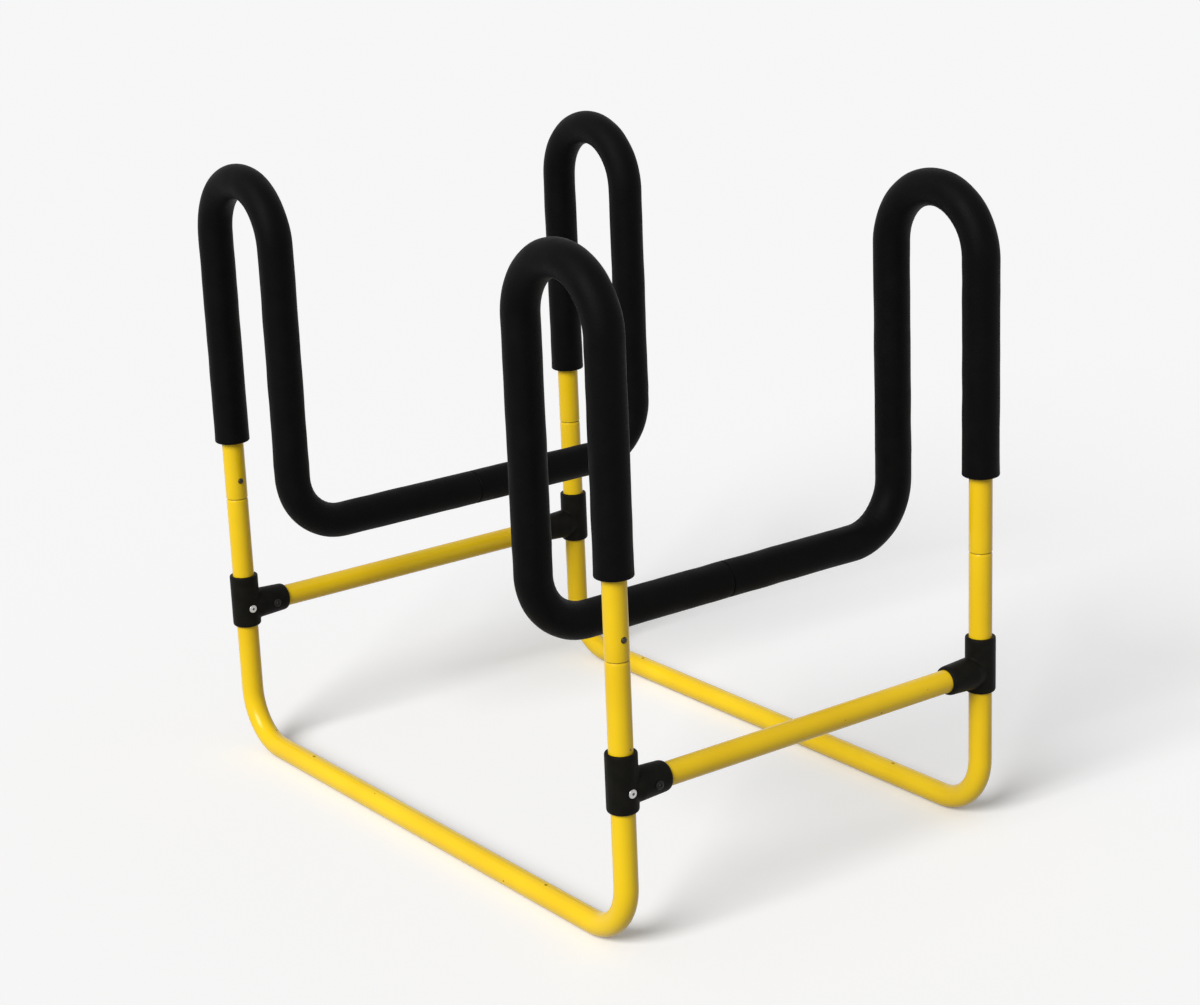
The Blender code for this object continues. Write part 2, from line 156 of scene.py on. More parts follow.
def open_ring(mesh, place, way, radius, sides):
    """A circle of edges, square to the tube's way, that the other moves pull along."""
    turn = Matrix.Translation(place) @ way.to_track_quat("Z", "Y").to_matrix().to_4x4()
    made = bmesh.ops.create_circle(mesh, cap_ends=False, segments=sides, radius=radius, matrix=turn)
    return list({edge for vert in made["verts"] for edge in vert.link_edges})


def feed(mesh, rim, step, pieces=1):
    """Pulls the ring straight on, in even pieces, and returns the new ring."""
    made = bmesh.ops.extrude_edge_only(mesh, edges=rim)["geom"]
    fresh = {item for item in made if isinstance(item, bmesh.types.BMVert)}
    bmesh.ops.translate(mesh, verts=list(fresh), vec=step)
    edges = [item for item in made if isinstance(item, bmesh.types.BMEdge)]
    fresh_rim = [edge for edge in edges if edge.verts[0] in fresh and edge.verts[1] in fresh]
    if pieces > 1:
        along = {edge for vert in fresh for edge in vert.link_edges} - set(fresh_rim)
        bmesh.ops.subdivide_edges(mesh, edges=list(along), cuts=pieces - 1, use_grid_fill=True)
    return fresh_rim


def wrap(mesh, rim, centre, axis, angle, steps):
    """Bends the ring round the die's axis and returns the last ring."""
    made = bmesh.ops.spin(
        mesh,
        geom=rim + ring_verts(rim),
        cent=centre,
        axis=axis,
        dvec=(0.0, 0.0, 0.0),
        angle=angle,
        steps=steps,
        use_merge=False,
        use_duplicate=False,
    )["geom_last"]
    return [item for item in made if isinstance(item, bmesh.types.BMEdge)]


def lay_skin(mesh, place, way, radius, moves, sides, ring_steps):
    """Follows the moves and leaves an open skin. Returns its first and last ring and last way.

    ring_steps gives the distance between rings on a straight and on a bend.
    """
    place = place.copy()
    way = way.normalized()
    first = rim = open_ring(mesh, place, way, radius, sides)
    for move in moves:
        if move[0] == "bend":
            _, die, degrees, towards = move
            centre = place + die * towards
            angle = math.radians(degrees)
            axis = way.cross(towards)
            steps = max(fewest_bend_steps, round(die * angle / ring_steps[1]))
            rim = wrap(mesh, rim, centre, axis, angle, steps)
            turn = Matrix.Rotation(angle, 3, axis)
            place = centre + turn @ (place - centre)
            way = turn @ way
            continue
        length = move[1]
        pieces = max(1, round(length / ring_steps[0])) if move[0] == "run" else 1
        rim = feed(mesh, rim, way * length, pieces)
        place = place + way * length
        if move[0] == "taper":
            grown = move[2] / radius
            radius = move[2]
            verts = ring_verts(rim)
            bmesh.ops.scale(mesh, verts=verts, vec=(grown,) * 3, space=Matrix.Translation(-place))
    return first, rim, way


def rounded(radius, reach, length, growing, steps=4):
    """Tapers round an edge, which draws in by the reach within the length.

    Growing tapers end at the radius, and the others start from it.
    """
    angles = [math.pi / 2 * n / steps for n in range(steps + 1)]
    curve = [(length * (1 - math.cos(a)), radius - reach * (1 - math.sin(a))) for a in angles]
    pairs = list(zip(curve, curve[1:]))
    if growing:
        return [("taper", far[0] - near[0], far[1]) for near, far in pairs]
    return [("taper", far[0] - near[0], near[1]) for near, far in reversed(pairs)]


# %% [markdown]
# A tube is two skins on one route, joined by a rim at each end. With the bore in
# place, the tube is a closed solid, so it renders and exports soundly, and its
# open ends look right when an arm is lifted off its spigots. The bore's rims are
# set in by a hair, as a file leaves them. That also tells `bridge_loops` which
# way round each pair of rings runs, which it can't tell from rings in one plane.

# %% Closing two skins into a tube
deburr = 0.0001
same_point = 0.000005
tube_sides = 48
tube_steps = (0.020, 0.0045)
bore_steps = (0.040, 0.0090)


def as_object(name, shape):
    piece = bpy.data.objects.new(name, shape)
    bpy.context.scene.collection.objects.link(piece)
    return piece


def smooth(shape, angle=40.0):
    """Shades every face smooth, but keeps edges sharper than the angle crisp."""
    shape.shade_smooth()
    shape.set_sharp_from_angle(angle=math.radians(angle))


def finished(mesh, name):
    """Turns the bmesh into an object at the origin, with outward faces and smooth shading."""
    bmesh.ops.remove_doubles(mesh, verts=mesh.verts[:], dist=same_point)
    bmesh.ops.recalc_face_normals(mesh, faces=mesh.faces[:])
    shape = bpy.data.meshes.new(name)
    mesh.to_mesh(shape)
    mesh.free()
    smooth(shape)
    return as_object(name, shape)


def tube(name, place, way, outer, bore, sides=tube_sides, ring_steps=tube_steps, shape=None):
    """outer and bore are (first radius, moves). shape may push the outer skin's points about."""
    mesh = bmesh.new()
    out_first, out_last, _ = lay_skin(mesh, place, way, outer[0], outer[1], sides, ring_steps)
    if shape:
        shape(mesh)
    in_first, in_last, last_way = lay_skin(mesh, place, way, bore[0], bore[1], sides, bore_steps)
    bmesh.ops.translate(mesh, verts=ring_verts(in_first), vec=way * deburr)
    bmesh.ops.translate(mesh, verts=ring_verts(in_last), vec=last_way * -deburr)
    bmesh.ops.bridge_loops(mesh, edges=out_first + in_first)
    bmesh.ops.bridge_loops(mesh, edges=out_last + in_last)
    return finished(mesh, name)


# %% [markdown]
# Rivets, buttons and the parts of a bracket are turned on a lathe: a profile is
# drawn in the XZ plane and spun a full turn round Z. `use_merge` closes the
# last step onto the first one.

# %% Turning a profile
def turned(name, profile, steps=40):
    mesh = bmesh.new()
    points = [mesh.verts.new((radius, 0.0, height)) for radius, height in profile]
    line = [mesh.edges.new(pair) for pair in zip(points, points[1:])]
    bmesh.ops.spin(
        mesh,
        geom=points + line,
        cent=(0.0, 0.0, 0.0),
        axis=(0.0, 0.0, 1.0),
        dvec=(0.0, 0.0, 0.0),
        angle=2.0 * math.pi,
        steps=steps,
        use_merge=True,
        use_duplicate=False,
    )
    return finished(mesh, name)


def quarter_round(radius, height, reach, drop, steps=6):
    """Profile points from a flat end at the height, round its edge, down to the side."""
    angles = [math.pi / 2 * n / steps for n in range(steps + 1)]
    return [(radius - reach * (1 - math.sin(a)), height - drop * (1 - math.cos(a))) for a in angles]


# %% [markdown]
# Holes are drilled with a Boolean, and the result is baked at once, so that no
# cutter is left in the file. The drill for a rivet or a button starts on the
# tube's axis and goes out through one wall only. The same Boolean also welds
# two shapes into one.

# %% Drilling and welding
rivet_hole = 0.0027
button_hole = 0.0035
bar_hole = 0.00225
past_wall = 0.02
drill_sides = 32


def bake(piece):
    """Replaces the piece's mesh with what its modifiers make of it."""
    bpy.context.view_layer.update()
    seen = piece.evaluated_get(bpy.context.evaluated_depsgraph_get())
    baked = bpy.data.meshes.new_from_object(seen)
    old = piece.data
    piece.modifiers.clear()
    piece.data = baked
    bpy.data.meshes.remove(old)


def weld_or_cut(piece, tool, operation):
    """Welds the tool on with UNION, or cuts it out with DIFFERENCE, and takes the tool away."""
    step = piece.modifiers.new("tool", "BOOLEAN")
    step.operation = operation
    step.solver = "EXACT"
    step.object = tool
    bake(piece)
    bpy.data.objects.remove(tool)


def drill(piece, start, way, radius, length=past_wall):
    bit = turned("bit", [(0.0, length), (radius, length), (radius, 0.0), (0.0, 0.0)], drill_sides)
    turn = way.to_track_quat("Z", "Y").to_matrix().to_4x4()
    bit.data.transform(Matrix.Translation(start) @ turn)
    weld_or_cut(piece, bit, "DIFFERENCE")


def facing(end):
    """The way along X that a frame's rivets and buttons face. Both frames are one part, turned."""
    return Vector((-end, 0.0, 0.0))


# %% [markdown]
# ## Finishes made of nodes
#
# A finish is a small tree of shader nodes. Written out in full, the trees would
# be hard to read, so a few helpers stand for the steps that come up again and
# again: add a node, stretch a range, mix two colours, raise a bump. Every
# pattern reads Object coordinates, so it stays put on its piece from all sides.

# %% Shorthand for shader nodes
def new_finish(name):
    finish = bpy.data.materials.new("fine_" + name)
    finish.use_nodes = True
    tree = finish.node_tree
    shader = tree.nodes["Principled BSDF"]
    return finish, tree, shader


def add(tree, kind, inputs=None, **settings):
    node = tree.nodes.new(kind)
    for key, value in settings.items():
        setattr(node, key, value)
    for key, value in (inputs or {}).items():
        if isinstance(value, bpy.types.NodeSocket):
            tree.links.new(value, node.inputs[key])
        else:
            node.inputs[key].default_value = value
    return node


def maths(tree, first, second, operation="MULTIPLY"):
    return add(tree, "ShaderNodeMath", {0: first, 1: second}, operation=operation).outputs["Value"]


def vectors(tree, first, second, operation):
    inputs = {0: first, 1: second}
    return add(tree, "ShaderNodeVectorMath", inputs, operation=operation).outputs[0]


def ramp(tree, source, low, high):
    """Stretches the range from low to high over 0 to 1, and clamps outside it."""
    inputs = {"Value": source, "From Min": low, "From Max": high}
    return add(tree, "ShaderNodeMapRange", inputs, clamp=True).outputs["Result"]


def spread(tree, share, low, high):
    """Lays a share from 0 to 1 over the range from low to high."""
    inputs = {"Value": share, "To Min": low, "To Max": high}
    return add(tree, "ShaderNodeMapRange", inputs).outputs["Result"]


# %% Noise, mixed colours and bumps
def cloudy(tree, where, scale, detail, roughness=0.5):
    """The outputs of a noise, whose Fac and Color wander from 0 to 1."""
    inputs = {"Vector": where, "Scale": scale, "Detail": detail, "Roughness": roughness}
    return add(tree, "ShaderNodeTexNoise", inputs).outputs


def cellular(tree, where, scale):
    """The outputs of a Voronoi: the Distance to each cell's middle, and a random Color per cell."""
    return add(tree, "ShaderNodeTexVoronoi", {"Vector": where, "Scale": scale}, feature="F1").outputs


def blend_colours(tree, share, first, second):
    node = add(tree, "ShaderNodeMix", {"Factor": share}, data_type="RGBA")
    for index, value in ((6, first), (7, second)):
        if isinstance(value, bpy.types.NodeSocket):
            tree.links.new(value, node.inputs[index])
        else:
            node.inputs[index].default_value = (*value, 1.0)
    return node.outputs[2]


def emboss(tree, shader, height, strength, depth):
    """Raises the surface by the height, where 1 stands for the depth in metres."""
    bump = add(tree, "ShaderNodeBump", {"Height": height, "Strength": strength, "Distance": depth})
    tree.links.new(bump.outputs["Normal"], shader.inputs["Normal"])


# %% [markdown]
# ## Yellow gloss paint that has been used
#
# The tubes are powder coated in a warm yellow. Powder coat has a soft
# orange-peel ripple, so its reflections waver a little. The rack has been
# handled: there are small chips down to dark steel, and faint grey scuffs. The
# chips are the few Voronoi cells whose random colour passes a threshold, with a
# noise that makes their edges ragged. A thin line of painted shade darkens the
# seams, where an arm's tube meets its leg, and the arms have scraped lengthwise
# lines into the spigots that they slide on.

# %% Colours of the paint, of its wear and of the painted seam shade
paint_yellow = (0.940, 0.630, 0.007)
paint_deep = (0.860, 0.545, 0.005)
chip_steel = (0.045, 0.030, 0.018)
scuff_grey = (0.250, 0.190, 0.080)
scuff_share = 0.25
# painted shade: the dark line where an arm's tube meets its leg
painted_seam_shade = (0.110, 0.075, 0.020)
bare_steel = (0.290, 0.275, 0.250)
scrape_share = 0.7

# %% Scales and limits of the patterns on the paint
cloud_scale = 9.0
ragged_scale = 420.0
ragged_push = 0.006
chip_cells = 75.0
chip_picked = (0.930, 0.935)
chip_size = (0.04, 0.11)
rub_scale = 420.0
rub_worn = (0.56, 0.66)
patch_scale = 21.0
patch_worn = (0.60, 0.68)
# how close to a seam the painted shade is full, where it is gone, and how the rub breaks it up
shade_near = 0.0004
shade_far = 0.0011
shade_broken = (0.20, 0.90)
scrape_stretch = (1300.0, 1300.0, 26.0)
scrape_lines = (0.53, 0.60)
peel_scale = 650.0
peel_share = 0.10
paint_relief = 0.00018
gloss_range = (0.20, 0.30)
scuff_dulls = 0.25
chip_dulls = 0.35


# %% Chips and scuffs
def ragged_place(tree, where):
    """Coordinates that a noise pushes about, so that edges come out ragged."""
    push = vectors(tree, cloudy(tree, where, ragged_scale, 2.0)["Color"], (0.5, 0.5, 0.5), "SUBTRACT")
    nudge = add(tree, "ShaderNodeVectorMath", {0: push, "Scale": ragged_push}, operation="SCALE")
    return vectors(tree, where, nudge.outputs[0], "ADD")


def paint_chips(tree, ragged):
    """1 near the middle of the few cells that are picked by their random colour."""
    cells = cellular(tree, ragged, chip_cells)
    pick = add(tree, "ShaderNodeSeparateColor", {"Color": cells["Color"]}).outputs
    chosen = ramp(tree, pick["Red"], *chip_picked)
    size = spread(tree, pick["Green"], *chip_size)
    return maths(tree, chosen, maths(tree, cells["Distance"], size, "LESS_THAN"))


def paint_scuffs(tree, where, rub):
    """Wide patches, broken up by the fine rub."""
    patches = ramp(tree, cloudy(tree, where, patch_scale, 2.0)["Fac"], *patch_worn)
    return maths(tree, ramp(tree, rub, *rub_worn), patches)


# %% Painted shade in the seams and scrapes on the spigots
def seam_painted_shade(tree, height, rub):
    """Painted shade: full next to a seam and gone a millimetre away from it, broken up by the rub."""
    off_seam = maths(tree, maths(tree, height, seam_height, "SUBTRACT"), 0.0, "ABSOLUTE")
    return maths(tree, ramp(tree, off_seam, shade_far, shade_near), ramp(tree, rub, *shade_broken))


def spigot_scrapes(tree, where, height):
    """Fine lines along Z, only at a spigot's distance from the nearest leg's axis."""
    corner = add(tree, "ShaderNodeVectorMath", {0: where}, operation="ABSOLUTE").outputs[0]
    across = vectors(tree, corner, (leg_x, leg_y, 0.0), "SUBTRACT")
    level = vectors(tree, across, (1.0, 1.0, 0.0), "MULTIPLY")
    off_axis = add(tree, "ShaderNodeVectorMath", {0: level}, operation="LENGTH").outputs["Value"]
    in_skin = maths(tree, off_axis, spigot_radius + fit / 2, "LESS_THAN")
    out_of_bore = maths(tree, off_axis, spigot_bore + fit, "GREATER_THAN")
    over_seam = maths(tree, height, seam_height, "GREATER_THAN")
    drawn = add(tree, "ShaderNodeMapping", {"Vector": where, "Scale": scrape_stretch}).outputs["Vector"]
    scrapes = ramp(tree, cloudy(tree, drawn, 1.0, 3.0)["Fac"], *scrape_lines)
    return maths(tree, maths(tree, scrapes, in_skin), maths(tree, out_of_bore, over_seam))


# %% The paint
def make_paint():
    finish, tree, shader = new_finish("yellow_gloss_paint")
    where = add(tree, "ShaderNodeTexCoord").outputs["Object"]
    height = add(tree, "ShaderNodeSeparateXYZ", {"Vector": where}).outputs["Z"]
    cloud = cloudy(tree, where, cloud_scale, 3.0)["Fac"]
    ragged = ragged_place(tree, where)
    rub = cloudy(tree, ragged, rub_scale, 6.0, 0.7)["Fac"]
    chips = paint_chips(tree, ragged)
    scuffs = paint_scuffs(tree, where, rub)
    scrapes = spigot_scrapes(tree, where, height)

    tone = blend_colours(tree, ramp(tree, cloud, 0.35, 0.75), paint_yellow, paint_deep)
    worn = blend_colours(tree, maths(tree, scuffs, scuff_share), tone, scuff_grey)
    # painted shade along the seams
    shaded = blend_colours(tree, seam_painted_shade(tree, height, rub), worn, painted_seam_shade)
    scraped = blend_colours(tree, maths(tree, scrapes, scrape_share), shaded, bare_steel)
    tree.links.new(blend_colours(tree, chips, scraped, chip_steel), shader.inputs["Base Color"])

    rough = maths(tree, spread(tree, cloud, *gloss_range), maths(tree, scuffs, scuff_dulls), "ADD")
    rough = maths(tree, rough, maths(tree, chips, chip_dulls), "ADD")
    tree.links.new(rough, shader.inputs["Roughness"])
    shader.inputs["Specular IOR Level"].default_value = 0.25
    peel = maths(tree, cloudy(tree, where, peel_scale, 1.5)["Fac"], peel_share)
    emboss(tree, shader, maths(tree, peel, maths(tree, chips, -1.0), "ADD"), 0.35, paint_relief)
    return finish


yellow_paint = make_paint()
print("paint nodes:", len(yellow_paint.node_tree.nodes))

# %% [markdown]
# ## Black padding foam
#
# The sleeves are closed-cell rubber foam. From a step away it is a flat black
# with a faint, broad sheen where it turns towards the light. Close up it has
# pin-sized cells. A fine Voronoi gives the cells, a larger noise makes their
# depth uneven, and a second noise lays a trace of dust on it.

# %% The foam
foam_black = (0.0014, 0.0014, 0.0015)
foam_dusty = (0.0036, 0.0035, 0.0034)
dust_scale = 32.0
dust_settles = (0.45, 0.80)
foam_cells = 900.0
foam_grain = 240.0
foam_relief = 0.00035
foam_sheen = (0.52, 0.70)


def make_foam():
    finish, tree, shader = new_finish("black_foam")
    where = add(tree, "ShaderNodeTexCoord").outputs["Object"]
    dusted = ramp(tree, cloudy(tree, where, dust_scale, 5.0, 0.6)["Fac"], *dust_settles)
    tree.links.new(blend_colours(tree, dusted, foam_black, foam_dusty), shader.inputs["Base Color"])
    tree.links.new(spread(tree, dusted, *foam_sheen), shader.inputs["Roughness"])
    shader.inputs["Specular IOR Level"].default_value = 0.05
    grain = cloudy(tree, where, foam_grain, 4.0)["Fac"]
    uneven = maths(tree, cellular(tree, where, foam_cells)["Distance"], grain, "ADD")
    emboss(tree, shader, uneven, 0.45, foam_relief)
    return finish


black_foam = make_foam()
print("foam nodes:", len(black_foam.node_tree.nodes))

# %% [markdown]
# ## Moulded plastic and small metals
#
# The brackets are glass-filled nylon, nearly black, with a fine spark-eroded
# grain and a slightly paler bloom on top of it. The leg rivets are aluminium
# with the dull look of a pulled rivet, and the rail rivets are painted black.
# Both hold the broken end of a steel pin. The button is dark zinc, and the V
# spring behind it is plain steel. They differ only in a few values, so one
# function makes them all.

# %% One recipe for the moulding and the metals
bloom_scale = 70.0
bloom_range = (0.40, 0.75)


def make_plain(name, tone, pale, rough, metallic, grain, depth=0.00005, specular=0.5):
    """Two tones, a range of roughness that follows them, and a bump of the grain's size."""
    finish, tree, shader = new_finish(name)
    where = add(tree, "ShaderNodeTexCoord").outputs["Object"]
    share = ramp(tree, cloudy(tree, where, bloom_scale, 5.0, 0.6)["Fac"], *bloom_range)
    tree.links.new(blend_colours(tree, share, tone, pale), shader.inputs["Base Color"])
    tree.links.new(spread(tree, share, *rough), shader.inputs["Roughness"])
    shader.inputs["Metallic"].default_value = metallic
    shader.inputs["Specular IOR Level"].default_value = specular
    emboss(tree, shader, cloudy(tree, where, grain, 3.0)["Fac"], 0.4, depth)
    return finish


# %% The moulding and the black paint of the rail rivets
moulding = make_plain(
    "charcoal_moulding",
    tone=(0.0062, 0.0060, 0.0047),
    pale=(0.0100, 0.0097, 0.0079),
    rough=(0.42, 0.56),
    metallic=0.0,
    grain=1500.0,
    depth=0.00012,
    specular=0.04,
)
dark_rivet = make_plain(
    "blackened_rivet",
    tone=(0.0100, 0.0100, 0.0095),
    pale=(0.0170, 0.0165, 0.0155),
    rough=(0.35, 0.50),
    metallic=0.0,
    grain=2200.0,
    specular=0.15,
)
print("blacks:", moulding.name, dark_rivet.name)

# %% The bare metals
bright_rivet = make_plain(
    "aluminium_rivet",
    tone=(0.560, 0.560, 0.550),
    pale=(0.400, 0.400, 0.390),
    rough=(0.28, 0.45),
    metallic=1.0,
    grain=2200.0,
)
pin_steel = make_plain(
    "broken_pin",
    tone=(0.120, 0.115, 0.105),
    pale=(0.070, 0.067, 0.062),
    rough=(0.35, 0.50),
    metallic=1.0,
    grain=2200.0,
)
zinc = make_plain(
    "dark_zinc",
    tone=(0.062, 0.054, 0.038),
    pale=(0.036, 0.031, 0.023),
    rough=(0.35, 0.50),
    metallic=1.0,
    grain=2200.0,
)
steel = make_plain(
    "spring_steel",
    tone=(0.350, 0.345, 0.340),
    pale=(0.260, 0.255, 0.250),
    rough=(0.25, 0.40),
    metallic=1.0,
    grain=1200.0,
)
print("metals:", [metal.name for metal in (bright_rivet, pin_steel, zinc, steel)])

# %% [markdown]
# Every piece gets its finish, and the CAD node that it stands for is hidden.
# Then it rides on the body that it moves with. Only the springs bend on the
# real rack; here they get their finish and ride on no body. Finished meshes
# hold their own place, and their objects stay at the origin, so a copy is
# turned and moved in its mesh.

# %% Handing a piece over
half_turn = Matrix.Rotation(math.pi, 4, "Z")


def placed_copy(name, shape, placing):
    copy = shape.copy()
    copy.name = name
    copy.transform(placing)
    return as_object(name, copy)


def dress(piece, node, finish):
    """Gives the piece its finish, and hides the imported node that it stands for."""
    piece.data.materials.clear()
    piece.data.materials.append(finish)
    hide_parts(node)
    print(piece.name, "faces:", len(piece.data.polygons))


def hand_over(piece, node, finish, body):
    dress(piece, node, finish)
    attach(piece, body)


# %% [markdown]
# ## The floor frames
#
# Each is one tube, bent twice: down the left leg, along the floor, up the right
# leg. The top of each leg is swaged to slip inside the arm's tube, with a short
# lead-in. The swage ends in a round shoulder, which catches the light just under
# the seam. The bore follows the same moves with its own radii. Small holes go
# right through the floor bar near its ends, where the photograph shows dots. The
# rack has two of this one part. The rear one is turned half round, which is why
# its rivets and buttons face the other way.

# %% Two floor frames
def frame_moves(skin, thin, tip):
    """Moves from one leg's tip to the other's, for a skin that is thin on the spigots."""
    leg = seam_height - swage - tube_radius - corner_radius
    spigot = spigot_length - lead_in
    down = [("taper", lead_in, thin), ("run", spigot)] + rounded(skin, skin - thin, swage, True)
    up = rounded(skin, skin - thin, swage, False) + [("run", spigot), ("taper", lead_in, tip)]
    bar = [
        ("bend", corner_radius, 90.0, Vector((1.0, 0.0, 0.0))),
        ("run", 2 * (leg_x - corner_radius)),
        ("bend", corner_radius, 90.0, up_way),
    ]
    return down + [("run", leg)] + bar + [("run", leg)] + up


bar_drill_foot = -0.01
bar_drill_length = 0.05


def floor_frame(name):
    top = Vector((-leg_x, -leg_y, seam_height + spigot_length))
    outer = (spigot_tip, frame_moves(tube_radius, spigot_radius, spigot_tip))
    bore = (spigot_bore, frame_moves(tube_bore, spigot_bore, spigot_bore))
    piece = tube(name, top, Vector((0.0, 0.0, -1.0)), outer, bore)
    for side in side_names:
        drill(piece, Vector((side * leg_x, -leg_y, rail_height)), facing(-1), rivet_hole)
        drill(piece, Vector((side * leg_x, -leg_y, button_height)), facing(-1), button_hole)
        under_bar = Vector((side * bar_hole_x, -leg_y, bar_drill_foot))
        drill(piece, under_bar, up_way, bar_hole, bar_drill_length)
    smooth(piece.data)
    return piece


front_frame = floor_frame("front_floor_frame_fine")
rear_frame = placed_copy("rear_floor_frame_fine", front_frame.data, half_turn)
hand_over(front_frame, "front_floor_frame", yellow_paint, "base")
hand_over(rear_frame, "rear_floor_frame", yellow_paint, "base")

# %% [markdown]
# ## The side rails
#
# These are the simplest pieces: a straight length of the same tube, held in the
# two brackets of its side by one dark rivet at each end.

# %% Two side rails
rail_rivet_low, rail_rivet_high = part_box("front_left_rail_rivet")
rail_rivet_y = (rail_rivet_low.y + rail_rivet_high.y) / 2


def side_rail(name):
    moves = [("run", rail_high.y - rail_low.y)]
    start = Vector((-leg_x, rail_low.y, rail_height))
    piece = tube(name, start, Vector((0.0, 1.0, 0.0)), (tube_radius, moves), (tube_bore, moves))
    for end in end_names:
        drill(piece, Vector((-leg_x, -end * rail_rivet_y, rail_height)), facing(end), rivet_hole)
    smooth(piece.data)
    return piece


left_rail = side_rail("left_side_rail_fine")
right_rail = placed_copy("right_side_rail_fine", left_rail.data, half_turn)
hand_over(left_rail, "left_side_rail", yellow_paint, "base")
hand_over(right_rail, "right_side_rail", yellow_paint, "base")

# %% [markdown]
# ## The arms
#
# An arm is one long tube: up from the front leg, over the hook, down, round to
# the rear, along the cradle, and the same again up to the rear leg. The moves
# are symmetric, so they are written once and used in both directions. The lip
# at each lower end is rolled in by a little less than the wall, so the seam
# above the floor frame shows as a thin line of shade.

# %% Moves shared by an arm's tube and its foam
hook_spring = hook_top - hook_radius
cradle_top = cradle_height + cradle_bend


def moves_up_and_over(side, foot):
    """From the foot of the front leg to the start of the level cradle."""
    inwards = Vector((-side, 0.0, 0.0))
    rearwards = Vector((0.0, 1.0, 0.0))
    return [
        ("run", hook_spring - foot),
        ("bend", hook_radius, 180.0, inwards),
        ("run", hook_spring - cradle_top),
        ("bend", cradle_bend, 90.0, rearwards),
    ]


def moves_back_down(side, foot):
    """From the end of the level cradle to the foot of the rear leg."""
    outwards = Vector((side, 0.0, 0.0))
    return [
        ("bend", cradle_bend, 90.0, up_way),
        ("run", hook_spring - cradle_top),
        ("bend", hook_radius, 180.0, outwards),
        ("run", hook_spring - foot),
    ]


# %% Two arm tubes
eased_lip = 0.0009


def arm_tube(name):
    foot = seam_height + fit
    level = [("run", 2 * (leg_y - cradle_bend))]

    def route(low):
        return moves_up_and_over(-1, low) + level + moves_back_down(-1, low)

    lip_out = rounded(tube_radius, eased_lip, eased_lip, True)
    lip_in = rounded(tube_radius, eased_lip, eased_lip, False)
    outer = (tube_radius - eased_lip, lip_out + route(foot + eased_lip) + lip_in)
    piece = tube(name, Vector((-leg_x, -leg_y, foot)), up_way, outer, (tube_bore, route(foot)))
    for end in end_names:
        drill(piece, Vector((-leg_x, end * leg_y, button_height)), facing(end), button_hole)
    smooth(piece.data)
    return piece


left_arm = arm_tube("left_arm_tube_fine")
right_arm = placed_copy("right_arm_tube_fine", left_arm.data, half_turn)
hand_over(left_arm, "left_arm_tube", yellow_paint, "left_arm")
hand_over(right_arm, "right_arm_tube", yellow_paint, "right_arm")

# %% [markdown]
# ## The foam sleeves
#
# Foam that has been pushed round a bend is never a clean torus. On the inside
# of the bend it is squeezed into shallow creases, and everywhere it is a little
# uneven. We lay a fine skin first, then move its points along their normals:
# a low noise for the unevenness, and a broken ripple that lives only on the inner
# side of each bend. The ends are cut square with a rounded lip, and the lower end
# is spread a little, where hands have pulled the sleeve down over the tube. The
# left sleeves reach further down than the right ones, as in the photograph.

# %% Creases on the inside of the bends
crease_depth = 0.00060
crease_pitch = 0.0085
crease_drift = 1.2
drift_scale = 24.0
drift_offset = Vector((3.1, 0.0, 0.0))
broken_scale = 17.0
broken_mean = 0.45
broken_swing = 0.9
inner_focus = 1.5
lump_depth = 0.00040
lump_scale = 38.0
flare = 0.00035
flare_length = 0.009


def crease(spot, radial, die, angle, full):
    """How far a point sinks, by its distance to the die's axis and its angle out of the full bend."""
    inner = min(1.0, max(0.0, (die - radial) / foam_radius))
    drift = crease_drift * noise.noise(spot * drift_scale + drift_offset)
    ripple = 0.5 + 0.5 * math.cos(2 * math.pi * (die * angle / crease_pitch + drift))
    share = min(1.0, max(0.0, broken_mean + broken_swing * noise.noise(spot * broken_scale)))
    fading = math.sin(math.pi * angle / full)
    return crease_depth * inner**inner_focus * ripple * share * fading


def settle_foam(side, end):
    """Returns the function that moves the points of one sleeve's outer skin."""
    hook_centre = Vector((side * (leg_x - hook_radius), 0.0, hook_spring))
    bend_centre = Vector((0.0, end * (leg_y - cradle_bend), cradle_top))

    def shape(mesh):
        mesh.normal_update()
        moved = []
        for vert in mesh.verts:
            spot = vert.co
            sink = lump_depth * noise.noise(spot * lump_scale)
            sink -= flare * math.exp(-abs(spot.z - foam_end[side]) / flare_length)
            over = Vector((spot.x - hook_centre.x, spot.z - hook_centre.z))
            under = Vector((end * (spot.y - bend_centre.y), bend_centre.z - spot.z))
            if over.y > 0.0:
                angle = math.atan2(over.y, over.x)
                sink += crease(spot, over.length, hook_radius, angle, math.pi)
            elif under.x > 0.0 and under.y > 0.0 and abs(spot.x) < inner_x + foam_radius:
                angle = math.atan2(under.y, under.x)
                sink += crease(spot, under.length, cradle_bend, angle, math.pi / 2)
            moved.append((vert, -vert.normal * sink))
        for vert, step in moved:
            vert.co += step

    return shape


# %% Four foam sleeves
foam_lip = 0.0016
foam_sides = 64
foam_steps = (0.0026, 0.0026)


def foam_sleeve(side, end):
    node = f"{side_names[side]}_{end_names[end]}_foam_sleeve"
    foot = foam_end[side]
    half = leg_y - cradle_bend - fit / 2
    inwards = Vector((-side, 0.0, 0.0))
    along = Vector((0.0, -end, 0.0))

    def route(low, level):
        return [
            ("run", hook_spring - low),
            ("bend", hook_radius, 180.0, inwards),
            ("run", hook_spring - cradle_top),
            ("bend", cradle_bend, 90.0, along),
            ("run", level),
        ]

    lip_out = rounded(foam_radius, foam_lip, foam_lip, True)
    lip_in = rounded(foam_radius, foam_lip, foam_lip, False)
    piece = tube(
        node + "_fine",
        Vector((side * leg_x, end * leg_y, foot)),
        up_way,
        (foam_radius - foam_lip, lip_out + route(foot + foam_lip, half - foam_lip) + lip_in),
        (foam_bore, route(foot, half)),
        sides=foam_sides,
        ring_steps=foam_steps,
        shape=settle_foam(side, end),
    )
    hand_over(piece, node, black_foam, side_names[side] + "_arm")


